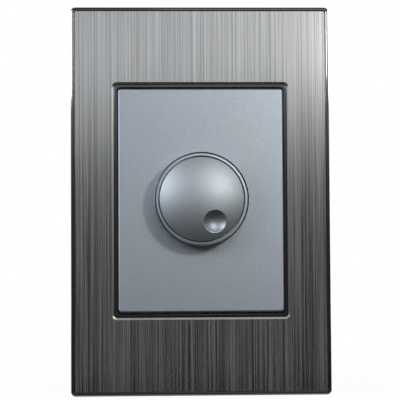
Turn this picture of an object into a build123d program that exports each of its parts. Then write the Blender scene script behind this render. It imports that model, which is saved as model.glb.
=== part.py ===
from build123d import *
import os
from math import asin, cos, radians, sin

# The plate's centre on the wall is the origin. X runs right, Z runs up and the front faces -Y.
# A level is a distance in front of the wall, so level 5 lies at Y = -5. Sizes are in millimetres.

# Wall plate, a gloss moulding that carries the face sheet
plate_width = 80.0
plate_height = 120.0
plate_depth = 9.0
plate_corner = 1.4
plate_wall = 2.0
plate_web = 1.8
rim_width = 1.2
rim_outer_round = 0.8
rim_inner_round = 0.25
rib_thickness = 1.0
rib_height = 0.9
rib_pitch = 22.0
collar_wall = 1.0
collar_gap = 0.3
pry_slot_width = 10.0
pry_slot_depth = 1.5

# Face sheet, let into the plate, with a chamfered window
sheet_thickness = 0.8
sheet_drop = 0.2
sheet_clearance = 0.1
sheet_corner = 0.4
window_corner = 1.0
window_bevel_width = 0.6
window_bevel_drop = 0.2

# Bead of the plate that shows between the sheet and the panel
bead_width = 1.0
bead_drop = 0.2
bead_round = 0.25
panel_side_gap = 0.3
panel_end_gap = 0.6

# Front panel, a cap with a skirt that snaps on the housing's rim
panel_width = 50.8
panel_height = 68.7
panel_proud = 1.2
panel_face = 1.6
panel_skirt = 1.3
panel_corner = 0.8
panel_round = 0.5
panel_hole_clearance = 0.5

# Support frame, held to the wall box, and the four hooks of the plate that grip it
frame_base = 2.0
frame_wall = 1.2
frame_corner = 3.0
frame_end_room = 5.0
frame_gap = 0.4
frame_screw_land = 16.0
frame_pocket_depth = 1.0
frame_pocket_wall = 2.0
frame_pocket_corner = 0.8
frame_pocket_count = 3
ledge_reach = 0.8
ledge_lift = 0.3
ledge_thickness = 1.2
ledge_overlength = 1.0
hook_width = 8.0
hook_thickness = 1.2
hook_spacing = 64.0
hook_clearance = 0.2
hook_room = 2.8
barb_length = 1.3

# Box screws, captive in slots of the support frame
box_screw_spacing = 83.3
box_screw_diameter = 3.5
box_screw_neck = 3.0
box_screw_length = 20.0
box_screw_head = 6.8
box_screw_head_height = 2.2
box_head_clearance = 0.4
box_slot_clearance = 0.2
box_slot_travel = 4.0

# Rear housing, a tub through the support frame's window
skirt_clearance = 0.4
housing_wall = 1.8
housing_corner = 1.2
housing_back_round = 0.8
housing_rim = 2.4
window_clearance = 0.3
flange_thickness = 2.0
flange_inset = 0.2
lug_reach = 1.2
lug_width = 12.0
lug_land = 0.8
lug_length = 3.0
lug_clearance = 0.1
lug_arm_length = 9.0
lug_slit = 0.8
nub_reach = 1.1
nub_width = 8.0
nub_height = 1.2
nub_spacing = 36.0
nub_clearance = 0.2
vent_length = 22.0
vent_width = 1.6
vent_pitch = 3.6
vent_count = 5
vent_lift = 16.0
vent_edge = 0.3
strip_gauge_length = 9.0
strip_gauge_width = 1.6
strip_gauge_depth = 0.6
post_inset = 5.0
post_diameter = 5.0
post_shoulder = 7.0
post_clearance = 0.2
post_pilot = 2.3
post_pilot_depth = 8.0
barrier_thickness = 1.2
barrier_length = 9.0
barrier_height = 7.0

# Heat sink, a folded plate on the posts
sink_thickness = 1.5
sink_clearance = 0.4
sink_bend = 0.5
sink_wing_depth = 9.0
sink_wing_gap = 2.5
sink_hole_clearance = 0.4
sink_screw_diameter = 2.2
sink_screw_length = 7.0
sink_screw_head = 4.8
sink_screw_head_height = 1.5

# Potentiometer
shaft_diameter = 6.0
shaft_clearance = 0.05
shaft_flat_depth = 1.5
shaft_end_gap = 0.4
bushing_diameter = 7.0
bushing_proud = 1.0
nut_width = 10.0
nut_thickness = 2.0
nut_gap = 0.3
nut_clearance = 0.05
washer_diameter = 12.0
washer_thickness = 0.5
pot_diameter = 17.0
pot_plate_thickness = 1.5
pot_tab_width = 2.4
pot_tab_thickness = 1.2
pot_tab_inset = 1.5
pot_tab_clearance = 0.2
case_depth = 6.5
case_wall = 0.5
wafer_thickness = 1.2
wafer_bore = 7.0
wafer_tail_width = 12.0
wafer_tail_length = 4.0
wafer_clearance = 0.2
leg_pitch = 4.0
leg_width = 1.2
leg_thickness = 0.5
leg_inset = 1.2
rotor_diameter = 12.8
rotor_thickness = 2.6
rotor_gap = 0.2
rotor_lug_reach = 1.0
rotor_lug_inset = 0.3
rotor_lug_half_angle = 12.0
rotor_stop_clearance = 0.4
rotor_stop_margin = 1.0
wiper_thickness = 0.3
wiper_gap = 0.1
wiper_ring = 10.0
wiper_arm_width = 1.6
wiper_arm_length = 1.8
wiper_track_radius = 6.0

# Switch can behind the potentiometer
switch_inset = 1.0
switch_depth = 9.0
switch_round = 0.6
switch_leg_spacing = 7.0

# Circuit board and its leads
board_thickness = 1.6
board_clearance = 0.4
board_corner = 1.0
lead_diameter = 0.7
lead_hole_clearance = 0.25
lead_bend = 0.8
lead_stub = 1.5
pin_diameter = 1.2
part_lift = 0.3
part_gap = 0.5

# Triac in its flat package
triac_width = 10.0
triac_body_length = 9.2
triac_tab_length = 6.3
triac_thickness = 4.4
triac_tab_thickness = 1.3
triac_hole = 3.6
triac_hole_inset = 2.8
triac_lead_pitch = 2.54
triac_lead_drop = 2.6
triac_lead_reach = 2.5
triac_pot_gap = 4.0
triac_pad_thickness = 0.2
triac_pad_margin = 0.8
triac_screw_diameter = 3.0
triac_screw_clearance = 0.05
triac_screw_head = 5.4
triac_screw_head_height = 1.8

# Choke
core_diameter = 14.0
core_bore = 7.4
core_height = 6.0
core_round = 0.6
core_clearance = 0.05
winding_thickness = 0.8
winding_arc = 300.0

# Capacitors
suppressor_width = 13.0
suppressor_depth = 6.0
suppressor_height = 11.5
suppressor_lead_spacing = 10.0
timer_width = 7.2
timer_depth = 3.0
timer_height = 7.5
timer_lead_spacing = 5.0
capacitor_round = 0.5
suppressor_leg_gap = 3.5

# Resistors and diac
resistor_diameter = 2.4
resistor_length = 6.3
resistor_lead_spacing = 9.0
resistor_pitch = 3.2
diac_diameter = 2.0
diac_length = 4.2
diac_lead_spacing = 7.0
diac_pot_gap = 4.0

# Terminals
terminal_width = 7.0
terminal_length = 8.0
terminal_height = 10.0
terminal_end_gap = 0.5
terminal_floor_gap = 0.3
terminal_edge = 0.4
wire_bore = 3.5
wire_bore_depth = 3.2
wire_hole_clearance = 0.5
wire_funnel = 0.6
terminal_pin_proud = 1.0
terminal_screw_diameter = 3.0
terminal_screw_clearance = 0.05
terminal_screw_gap = 0.2
terminal_screw_head = 4.8
terminal_screw_recess = 0.3
terminal_hole_clearance = 0.3

# Screw head finish
slot_width = 0.9
slot_depth = 0.8
head_round = 0.5
screw_tip = 0.5

# Knob
knob_diameter = 28.6
knob_gap = 0.8
knob_skirt = 6.6
knob_draft = 0.3
knob_foot_round = 0.4
knob_wall = 1.6
edge_width = 0.25
edge_drop = 0.1
outer_groove_width = 0.3
outer_groove_depth = 0.7
ring_width = 0.55
ring_fall = 0.08
groove_width = 0.35
groove_depth = 1.1
dome_drop = 0.2
dome_rise = 2.5
dome_wall = 1.8
dome_edge_round = 0.2
hub_diameter = 10.4
hub_recess = 0.4
knob_rib_count = 6
knob_rib_thickness = 1.0
knob_rib_height = 2.4
dimple_radius = 3.6
dimple_depth = 1.6
dimple_offset = 7.9
dimple_round = 0.35
dial_angle = 30.0

# Levels, from the front to the back
sheet_front = plate_depth - sheet_drop
sheet_back = sheet_front - sheet_thickness
web_back = sheet_back - plate_web
bead_crest = sheet_front - bead_drop
panel_front = plate_depth + panel_proud
panel_inner = panel_front - panel_face
flange_front = frame_base + flange_thickness
rim_front = flange_front + housing_rim
frame_front = web_back - rib_height - frame_gap
nut_front = panel_inner - nut_gap
bushing_front = nut_front + bushing_proud
washer_front = nut_front - nut_thickness
sink_front = washer_front - washer_thickness
sink_back = sink_front - sink_thickness
pot_plate_back = sink_back - pot_plate_thickness
case_back = pot_plate_back - case_depth
wafer_back = case_back + case_wall
wafer_front = wafer_back + wafer_thickness
rotor_front = pot_plate_back - rotor_gap
rotor_back = rotor_front - rotor_thickness
board_front = case_back - switch_depth
board_back = board_front - board_thickness
stub_level = board_back - lead_stub
terminal_back = board_back - terminal_height
housing_floor = terminal_back - terminal_floor_gap
housing_back = housing_floor - housing_wall
knob_foot = panel_front + knob_gap
ring_crest = knob_foot + knob_skirt
edge_crest = ring_crest - edge_drop
dome_base = ring_crest - dome_drop
dome_top = dome_base + dome_rise
knob_ceiling = dome_base - dome_wall
hub_foot = knob_foot + hub_recess
shaft_top = knob_ceiling - shaft_end_gap

# Outlines that follow from the driving sizes
tray_width = plate_width - 2 * rim_width
tray_height = plate_height - 2 * rim_width
sheet_width = tray_width - 2 * sheet_clearance
sheet_height = tray_height - 2 * sheet_clearance
opening_width = panel_width + 2 * panel_side_gap
opening_height = panel_height + 2 * panel_end_gap
opening_corner = panel_corner + panel_side_gap
bead_outer_width = opening_width + 2 * bead_width
bead_outer_height = opening_height + 2 * bead_width
window_width = bead_outer_width + 2 * sheet_clearance
window_height = bead_outer_height + 2 * sheet_clearance
cavity_width = plate_width - 2 * plate_wall
cavity_height = plate_height - 2 * plate_wall
collar_width = opening_width + 2 * collar_wall
collar_height = opening_height + 2 * collar_wall
hook_inner = cavity_width / 2 - hook_room - hook_thickness
frame_width = 2 * (hook_inner - hook_clearance - ledge_reach)
frame_height = cavity_height - 2 * frame_end_room
housing_width = panel_width - 2 * (panel_skirt + skirt_clearance)
housing_height = panel_height - 2 * (panel_skirt + skirt_clearance)
frame_window_width = housing_width + 2 * window_clearance
frame_window_height = housing_height + 2 * window_clearance
frame_side_band = (frame_width - frame_window_width) / 2
frame_end_band = (frame_height - frame_window_height) / 2
side_pocket_pitch = frame_window_height / frame_pocket_count
side_pocket_width = frame_side_band - 2 * frame_pocket_wall
end_pocket_width = (frame_width - frame_screw_land) / 2 - frame_pocket_wall
end_pocket_height = frame_end_band - 2 * frame_pocket_wall
interior_width = housing_width - 2 * housing_wall
interior_height = housing_height - 2 * housing_wall
post_x = interior_width / 2 - post_inset
post_z = interior_height / 2 - post_inset
post_column = post_x - post_diameter / 2 - part_gap
ledge_back = frame_base + ledge_lift
barb_front = ledge_back - hook_clearance
hook_foot = barb_front - barb_length
nub_back = flange_front + nub_clearance
case_bore = pot_diameter / 2 - case_wall
switch_diameter = pot_diameter - 2 * switch_inset
rotor_lug_radius = rotor_diameter / 2 + rotor_lug_reach
rotor_stop_radius = rotor_diameter / 2 + rotor_stop_clearance
rotor_stop_half_angle = dial_angle - rotor_lug_half_angle - rotor_stop_margin
edge_inner = knob_diameter / 2 - edge_width
ring_outer = edge_inner - outer_groove_width
ring_inner = ring_outer - ring_width
dome_radius = ring_inner - groove_width
dome_sphere = (dome_radius**2 + dome_rise**2) / (2 * dome_rise)

# Places of the small parts on the board, as (x, z) pairs
pot_tail_end = pot_diameter / 2 + wafer_tail_length
leg_z = -(pot_tail_end - leg_inset)
leg_places = [(-leg_pitch, leg_z), (0, leg_z), (leg_pitch, leg_z)]
switch_leg_places = [(-switch_leg_spacing / 2, 0), (switch_leg_spacing / 2, 0)]
triac_x = post_column - triac_pad_margin - triac_width / 2
triac_bottom = pot_diameter / 2 + triac_pot_gap
triac_body_top = triac_bottom + triac_body_length
triac_top = triac_body_top + triac_tab_length
triac_lead_z = triac_bottom - triac_lead_reach
triac_lead_places = [(triac_x + step * triac_lead_pitch, triac_lead_z) for step in (-1, 0, 1)]
triac_hole_place = (triac_x, triac_top - triac_hole_inset)
winding_radius = core_diameter / 2 + core_clearance + winding_thickness
choke_x = -(post_column - winding_radius)
choke_z = (pot_diameter + interior_height) / 4
choke_lead_places = [(choke_x - winding_radius / 2, choke_z), (choke_x + winding_radius / 2, choke_z)]
suppressor_z = leg_z - leg_thickness / 2 - suppressor_leg_gap - suppressor_depth / 2
suppressor_x = -(post_column - suppressor_width / 2)
suppressor_places = [(suppressor_x + side * suppressor_lead_spacing / 2, suppressor_z) for side in (-1, 1)]
terminal_x = (barrier_thickness / 2 + post_x - post_shoulder / 2) / 2
terminal_z = -(interior_height / 2 - terminal_end_gap - terminal_length / 2)
terminal_places = [(-terminal_x, terminal_z), (terminal_x, terminal_z)]
terminal_head_room = terminal_z + (terminal_length + lead_diameter) / 2 + part_gap
resistor_x = post_column - resistor_diameter / 2
resistor_z = terminal_head_room + resistor_lead_spacing / 2
resistor_columns = [resistor_x, resistor_x - resistor_pitch]
resistor_places = [
    (column, resistor_z + side * resistor_lead_spacing / 2)
    for column in resistor_columns
    for side in (-1, 1)
]
timer_x = (suppressor_x + suppressor_width / 2 + resistor_columns[-1] - resistor_diameter / 2) / 2
timer_z = terminal_head_room + timer_lead_spacing / 2
timer_places = [(timer_x, timer_z + side * timer_lead_spacing / 2) for side in (-1, 1)]
diac_x = pot_diameter / 2 + diac_pot_gap
diac_places = [(diac_x, side * diac_lead_spacing / 2) for side in (-1, 1)]
wire_level = board_back - wire_bore_depth
wire_places = [(-terminal_x, -wire_level), (terminal_x, -wire_level)]
post_places = [(side * post_x, end * post_z) for side in (-1, 1) for end in (-1, 1)]
box_screw_places = [(0, -box_screw_spacing / 2), (0, box_screw_spacing / 2)]
lead_places = (
    switch_leg_places
    + triac_lead_places
    + suppressor_places
    + timer_places
    + resistor_places
    + diac_places
    + choke_lead_places
)
pin_places = leg_places + terminal_places

# Widest error of a level when faces are picked by it
pick_tolerance = 0.01


def level(height):
    """Plane parallel to the wall, with x to the right and y up."""
    return Plane.XZ.offset(height)


def faces_at(builder, height):
    """Faces of a part that lie in the plane of a level."""
    low = -height - pick_tolerance
    high = -height + pick_tolerance
    return builder.faces().filter_by(Plane.XZ).filter_by_position(Axis.Y, low, high)


def add_ring_sector(inner, outer, middle_angle, half_angle):
    """Part of a ring in the sketch that is open, angles anticlockwise from the right."""
    start = middle_angle - half_angle
    with BuildLine() as outline:
        far = CenterArc((0, 0), outer, start, 2 * half_angle)
        near = CenterArc((0, 0), inner, start, 2 * half_angle)
        Line(far @ 0, near @ 0)
        Line(far @ 1, near @ 1)
    make_face(outline.edges())


def add_screws(places, seat, facing, head, head_height, shank, shank_length):
    """Slotted screws whose heads stand on the seat level; facing is 1 for a head to the front."""
    with BuildSketch(level(seat)) as heads:
        with Locations(*places):
            Circle(head / 2)
    extrude(heads.sketch, amount=facing * head_height)
    with BuildSketch(level(seat)) as shanks:
        with Locations(*places):
            Circle(shank / 2)
    extrude(shanks.sketch, amount=-facing * shank_length)
    with BuildSketch(level(seat + facing * head_height)) as slots:
        with Locations(*places):
            Rectangle(head, slot_width)
    extrude(slots.sketch, amount=-facing * slot_depth, mode=Mode.SUBTRACT)


def add_straight_leads(places, top, diameter):
    """Straight round leads from a level down through the board."""
    with BuildSketch(level(stub_level)) as sections:
        with Locations(*places):
            Circle(diameter / 2)
    extrude(sections.sketch, amount=top - stub_level)


def add_bent_lead(points):
    """Round lead along a bent path."""
    with BuildLine():
        path = FilletPolyline(*points, radius=lead_bend)
    with BuildSketch(Plane(path @ 0, z_dir=path % 0)) as section:
        Circle(lead_diameter / 2)
    sweep(section.sketch, path=path)


def add_axial_part(x, z, diameter, length, lead_spacing):
    """Body along Z on the board, with both leads bent down through it."""
    axis_level = board_front + part_lift + diameter / 2
    low = z - lead_spacing / 2
    high = z + lead_spacing / 2
    with BuildSketch(Plane.XY.offset(z - length / 2)) as body:
        with Locations((x, -axis_level)):
            Circle(diameter / 2)
    extrude(body.sketch, amount=length)
    add_bent_lead(
        [
            (x, -stub_level, low),
            (x, -axis_level, low),
            (x, -axis_level, high),
            (x, -stub_level, high),
        ]
    )


def add_box_capacitor(builder, centre, width, depth, height, places):
    """Rounded box on the board over two straight leads."""
    base = board_front + part_lift
    with BuildSketch(level(base)) as outline:
        with Locations(centre):
            RectangleRounded(width, depth, capacitor_round)
    extrude(outline.sketch, amount=height)
    fillet(faces_at(builder, base + height)[0].edges(), radius=capacitor_round)
    add_straight_leads(places, base, lead_diameter)


with BuildPart() as face_sheet:
    with BuildSketch(level(sheet_back)):
        RectangleRounded(sheet_width, sheet_height, sheet_corner)
        RectangleRounded(window_width, window_height, window_corner, mode=Mode.SUBTRACT)
    extrude(amount=sheet_thickness)
    # Shallow bevel round the window, wider than it is deep
    front_face = faces_at(face_sheet, sheet_front)[0]
    window_edges = front_face.inner_wires()[0].edges()
    chamfer(window_edges, length=window_bevel_width, length2=window_bevel_drop, reference=front_face)

with BuildPart() as plate_frame:
    with BuildSketch(level(0)):
        RectangleRounded(plate_width, plate_height, plate_corner)
    extrude(amount=plate_depth)
    # Tray for the face sheet, with the bead left standing round the panel
    with BuildSketch(level(sheet_back)):
        RectangleRounded(tray_width, tray_height, sheet_corner + sheet_clearance)
    extrude(amount=plate_depth - sheet_back, mode=Mode.SUBTRACT)
    with BuildSketch(level(sheet_back)):
        RectangleRounded(bead_outer_width, bead_outer_height, window_corner)
    extrude(amount=bead_crest - sheet_back)
    # Hollow back, with a collar that guides the panel's skirt
    with BuildSketch(level(0)):
        RectangleRounded(cavity_width, cavity_height, plate_corner)
        RectangleRounded(collar_width, collar_height, opening_corner, mode=Mode.SUBTRACT)
    extrude(amount=web_back, mode=Mode.SUBTRACT)
    with BuildSketch(level(0)):
        RectangleRounded(collar_width, collar_height, opening_corner)
    extrude(amount=frame_base + collar_gap, mode=Mode.SUBTRACT)
    with BuildSketch(level(0)):
        RectangleRounded(opening_width, opening_height, opening_corner)
    extrude(amount=plate_depth, mode=Mode.SUBTRACT)
    # Room for the heads of the box screws beside the collar
    with BuildSketch(level(0)):
        with Locations(*box_screw_places):
            Circle(box_screw_head / 2 + box_head_clearance)
    extrude(amount=frame_base + box_screw_head_height + box_head_clearance, mode=Mode.SUBTRACT)
    rim_face = faces_at(plate_frame, plate_depth)[0]
    fillet(rim_face.outer_wire().edges(), radius=rim_outer_round)
    rim_face = faces_at(plate_frame, plate_depth)[0]
    fillet(rim_face.inner_wires()[0].edges(), radius=rim_inner_round)
    fillet(faces_at(plate_frame, bead_crest)[0].edges(), radius=bead_round)
    # Ribs behind the web
    with BuildSketch(level(web_back - rib_height)):
        with GridLocations(0, rib_pitch, 1, 3):
            Rectangle(cavity_width, rib_thickness)
        with GridLocations(rib_pitch, 0, 3, 1):
            Rectangle(rib_thickness, cavity_height)
        RectangleRounded(opening_width, opening_height, opening_corner, mode=Mode.SUBTRACT)
    extrude(amount=rib_height)
    # Sprung hooks, with barbs that pass under the ledges of the support frame
    for side in (-1, 1):
        for end in (-1, 1):
            with BuildSketch(Plane.XY.offset(end * hook_spacing / 2 - hook_width / 2)):
                with BuildLine():
                    Polyline(
                        (side * hook_inner, -web_back),
                        (side * hook_inner, -barb_front),
                        (side * (hook_inner - ledge_reach), -barb_front),
                        (side * hook_inner, -hook_foot),
                        (side * (hook_inner + hook_thickness), -hook_foot),
                        (side * (hook_inner + hook_thickness), -web_back),
                        close=True,
                    )
                make_face()
            extrude(amount=hook_width)
    # Slot in the lower edge for prying the plate off
    with BuildSketch(Plane.XY.offset(-plate_height / 2)):
        with Locations((0, -pry_slot_depth / 2)):
            Rectangle(pry_slot_width, pry_slot_depth)
    extrude(amount=plate_wall, mode=Mode.SUBTRACT)

with BuildPart() as support_frame:
    with BuildSketch(level(0)):
        RectangleRounded(frame_width, frame_height, frame_corner)
        Rectangle(frame_window_width, frame_window_height, mode=Mode.SUBTRACT)
        with Locations(*box_screw_places):
            slot_height = box_screw_diameter + 2 * box_slot_clearance
            SlotOverall(slot_height + box_slot_travel, slot_height, mode=Mode.SUBTRACT)
    extrude(amount=frame_base)
    with BuildSketch(level(frame_base)):
        RectangleRounded(frame_width, frame_height, frame_corner)
        RectangleRounded(
            frame_width - 2 * frame_wall,
            frame_height - 2 * frame_wall,
            frame_corner - frame_wall,
            mode=Mode.SUBTRACT,
        )
    extrude(amount=frame_front - frame_base)
    # Pockets behind that keep the moulding even in thickness, clear of the screws
    with BuildSketch(level(0)):
        with GridLocations(frame_window_width + frame_side_band, side_pocket_pitch, 2, frame_pocket_count):
            RectangleRounded(side_pocket_width, side_pocket_pitch - frame_pocket_wall, frame_pocket_corner)
        end_pocket_step = frame_window_height + frame_end_band
        with GridLocations(frame_screw_land + end_pocket_width, end_pocket_step, 2, 2):
            RectangleRounded(end_pocket_width, end_pocket_height, frame_pocket_corner)
    extrude(amount=frame_pocket_depth, mode=Mode.SUBTRACT)
    with BuildSketch(level(ledge_back)):
        with GridLocations(frame_width + ledge_reach, hook_spacing, 2, 2):
            Rectangle(ledge_reach, hook_width + 2 * ledge_overlength)
    extrude(amount=ledge_thickness)

with BuildPart() as box_screws:
    add_screws(
        box_screw_places,
        frame_base,
        1,
        box_screw_head,
        box_screw_head_height,
        box_screw_neck,
        frame_base,
    )
    head_rims = faces_at(box_screws, frame_base + box_screw_head_height).edges().filter_by(GeomType.CIRCLE)
    fillet(head_rims, radius=head_round)
    with BuildSketch(level(0)):
        with Locations(*box_screw_places):
            Circle(box_screw_diameter / 2)
    extrude(amount=-box_screw_length)
    chamfer(faces_at(box_screws, -box_screw_length).edges(), length=screw_tip)

with BuildPart() as rear_housing:
    with BuildSketch(level(housing_back)):
        RectangleRounded(housing_width, housing_height, housing_corner)
    extrude(amount=rim_front - housing_back)
    fillet(faces_at(rear_housing, housing_back)[0].edges(), radius=housing_back_round)
    with BuildSketch(level(frame_base)):
        RectangleRounded(panel_width - 2 * flange_inset, panel_height - 2 * flange_inset, panel_corner)
    extrude(amount=flange_thickness)
    with BuildSketch(level(housing_floor)):
        Rectangle(interior_width, interior_height)
    extrude(amount=rim_front - housing_floor, mode=Mode.SUBTRACT)
    # Stepped posts: the board rests on the shoulders and the heat sink on the tops
    with BuildSketch(level(housing_floor)):
        with Locations(*post_places):
            Circle(post_shoulder / 2)
    extrude(amount=board_back - housing_floor)
    with BuildSketch(level(board_back)):
        with Locations(*post_places):
            Circle(post_diameter / 2)
    extrude(amount=sink_back - board_back)
    with BuildSketch(level(sink_back)):
        with Locations(*post_places):
            Circle(post_pilot / 2)
    extrude(amount=-post_pilot_depth, mode=Mode.SUBTRACT)
    # Barrier between the two terminals
    with BuildSketch(level(housing_floor)):
        with Locations((0, -(interior_height - barrier_length) / 2)):
            Rectangle(barrier_thickness, barrier_length)
    extrude(amount=barrier_height)
    # Sprung arms in the end walls, with lugs that snap behind the support frame
    for end in (-1, 1):
        arm_end = lug_clearance + lug_arm_length
        with BuildSketch(Plane.XY.offset(end * housing_height / 2)):
            with Locations((0, (arm_end - frame_base) / 2)):
                Rectangle(lug_width + 2 * lug_slit, arm_end + frame_base)
            with Locations((0, (arm_end + lug_clearance) / 2)):
                Rectangle(lug_width, arm_end - lug_clearance, mode=Mode.SUBTRACT)
        extrude(amount=-end * housing_wall, mode=Mode.SUBTRACT)
        root = end * housing_height / 2
        tip = end * (housing_height / 2 + lug_reach)
        with BuildSketch(Plane.YZ.offset(-lug_width / 2)):
            with BuildLine():
                Polyline(
                    (lug_clearance, root),
                    (lug_clearance, tip),
                    (lug_clearance + lug_land, tip),
                    (lug_clearance + lug_length, root),
                    close=True,
                )
            make_face()
        extrude(amount=lug_width)
    # Nubs that snap into the panel's skirt, left and right
    for side in (-1, 1):
        for end in (-1, 1):
            root = side * housing_width / 2
            tip = side * (housing_width / 2 + nub_reach)
            with BuildSketch(Plane.XY.offset(end * nub_spacing / 2 - nub_width / 2)):
                with BuildLine():
                    Polyline(
                        (root, -nub_back),
                        (tip, -nub_back),
                        (root, -(nub_back + nub_height)),
                        close=True,
                    )
                make_face()
            extrude(amount=nub_width)
    # Vents, screwdriver holes and wire holes
    with BuildSketch(level(housing_back)):
        with Locations((0, vent_lift)):
            with GridLocations(0, vent_pitch, 1, vent_count):
                SlotOverall(vent_length, vent_width)
        with Locations(*terminal_places):
            Circle(terminal_screw_head / 2 + terminal_hole_clearance)
    extrude(amount=housing_wall, mode=Mode.SUBTRACT)
    back_openings = faces_at(rear_housing, housing_back)[0].inner_wires()
    chamfer(back_openings.edges(), length=vent_edge)
    with BuildSketch(Plane.XY.offset(-housing_height / 2)):
        with Locations(*wire_places):
            Circle(wire_bore / 2 + wire_hole_clearance)
    extrude(amount=housing_wall, mode=Mode.SUBTRACT)
    wire_mouths = rear_housing.edges().filter_by(GeomType.CIRCLE).group_by(Axis.Z)[0]
    chamfer(wire_mouths, length=wire_funnel)
    # Groove between the terminals, a gauge for stripping the wires
    gauge_end = housing_height / 2 - housing_back_round
    with BuildSketch(level(housing_back)):
        with Locations((0, strip_gauge_length / 2 - gauge_end)):
            Rectangle(strip_gauge_width, strip_gauge_length)
    extrude(amount=strip_gauge_depth, mode=Mode.SUBTRACT)

with BuildPart() as front_panel:
    with BuildSketch(level(flange_front)):
        RectangleRounded(panel_width, panel_height, panel_corner)
    extrude(amount=panel_front - flange_front)
    fillet(faces_at(front_panel, panel_front)[0].edges(), radius=panel_round)
    with BuildSketch(level(flange_front)):
        Rectangle(panel_width - 2 * panel_skirt, panel_height - 2 * panel_skirt)
    extrude(amount=panel_inner - flange_front, mode=Mode.SUBTRACT)
    with BuildSketch(level(panel_inner)):
        Circle(bushing_diameter / 2 + panel_hole_clearance)
    extrude(amount=panel_face, mode=Mode.SUBTRACT)
    # Windows in the skirt for the housing's nubs
    with BuildSketch(level(nub_back - nub_clearance)):
        with GridLocations(0, nub_spacing, 1, 2):
            Rectangle(panel_width, nub_width + 2 * nub_clearance)
    extrude(amount=nub_height + 2 * nub_clearance, mode=Mode.SUBTRACT)

with BuildPart() as heat_sink:
    sink_width = interior_width - 2 * sink_clearance
    bend_outer = sink_bend + sink_thickness
    wing_length = 2 * (post_z - post_diameter / 2 - sink_wing_gap)
    wing_end = sink_front - sink_wing_depth
    with BuildSketch(Plane.XY.offset(-wing_length / 2)) as fold:
        with BuildLine():
            Polyline(
                (-sink_width / 2, -wing_end),
                (-sink_width / 2, -sink_front),
                (sink_width / 2, -sink_front),
                (sink_width / 2, -wing_end),
                (sink_width / 2 - sink_thickness, -wing_end),
                (sink_width / 2 - sink_thickness, -sink_back),
                (-sink_width / 2 + sink_thickness, -sink_back),
                (-sink_width / 2 + sink_thickness, -wing_end),
                close=True,
            )
        make_face()
        fillet(fold.vertices().group_by(Axis.Y)[0], radius=bend_outer)
        inner_bends = fold.vertices().filter_by_position(
            Axis.Y, -sink_back - pick_tolerance, -sink_back + pick_tolerance
        )
        fillet(inner_bends, radius=sink_bend)
    extrude(amount=wing_length)
    with BuildSketch(level(sink_back)):
        Rectangle(sink_width - 2 * bend_outer, interior_height - 2 * sink_clearance)
    extrude(amount=sink_thickness)
    with BuildSketch(level(sink_back)):
        with Locations(*post_places):
            Circle(sink_screw_diameter / 2 + sink_hole_clearance)
        Circle(bushing_diameter / 2 + nut_clearance)
        with Locations(triac_hole_place):
            Circle(triac_screw_diameter / 2 + triac_screw_clearance)
        with Locations((0, pot_diameter / 2 - pot_tab_inset)):
            Rectangle(pot_tab_width + 2 * pot_tab_clearance, pot_tab_thickness + 2 * pot_tab_clearance)
    extrude(amount=sink_thickness, mode=Mode.SUBTRACT)

with BuildPart() as heat_sink_screws:
    add_screws(
        post_places,
        sink_front,
        1,
        sink_screw_head,
        sink_screw_head_height,
        sink_screw_diameter,
        sink_screw_length,
    )

with BuildPart() as pot_bushing:
    with BuildSketch(level(pot_plate_back)):
        Circle(pot_diameter / 2)
    extrude(amount=pot_plate_thickness)
    with BuildSketch(level(sink_back)):
        Circle(bushing_diameter / 2)
    extrude(amount=bushing_front - sink_back)
    with BuildSketch(level(sink_back)):
        with Locations((0, pot_diameter / 2 - pot_tab_inset)):
            Rectangle(pot_tab_width, pot_tab_thickness)
    extrude(amount=sink_thickness)
    with BuildSketch(level(pot_plate_back)):
        Circle(shaft_diameter / 2 + shaft_clearance)
    extrude(amount=bushing_front - pot_plate_back, mode=Mode.SUBTRACT)

with BuildPart() as pot_washer:
    with BuildSketch(level(sink_front)):
        Circle(washer_diameter / 2)
        Circle(bushing_diameter / 2 + nut_clearance, mode=Mode.SUBTRACT)
    extrude(amount=washer_thickness)

with BuildPart() as pot_nut:
    with BuildSketch(level(washer_front)):
        RegularPolygon(nut_width / 2, 6, major_radius=False)
        Circle(bushing_diameter / 2 + nut_clearance, mode=Mode.SUBTRACT)
    extrude(amount=nut_thickness)

with BuildPart() as pot_case:
    with BuildSketch(level(case_back)):
        Circle(pot_diameter / 2)
    extrude(amount=case_depth)
    with BuildSketch(level(wafer_back)):
        Circle(case_bore)
    extrude(amount=case_depth - case_wall, mode=Mode.SUBTRACT)
    # Stop at six o'clock, beside the rotor
    with BuildSketch(level(rotor_back)):
        add_ring_sector(rotor_stop_radius, case_bore + case_wall / 2, -90, rotor_stop_half_angle)
    extrude(amount=rotor_thickness)
    # Way out for the wafer's tail
    with BuildSketch(level(wafer_back)):
        with Locations((0, -pot_diameter / 2)):
            Rectangle(wafer_tail_width + 2 * wafer_clearance, pot_diameter / 2)
    extrude(amount=wafer_thickness + wafer_clearance, mode=Mode.SUBTRACT)

with BuildPart() as pot_wafer:
    with BuildSketch(level(wafer_back)):
        Circle(case_bore - wafer_clearance)
        with Locations((0, -pot_tail_end / 2)):
            Rectangle(wafer_tail_width, pot_tail_end)
        Circle(wafer_bore / 2, mode=Mode.SUBTRACT)
    extrude(amount=wafer_thickness)

with BuildPart() as pot_legs:
    with BuildSketch(level(stub_level)):
        with Locations(*leg_places):
            Rectangle(leg_width, leg_thickness)
    extrude(amount=wafer_back - stub_level)

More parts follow.
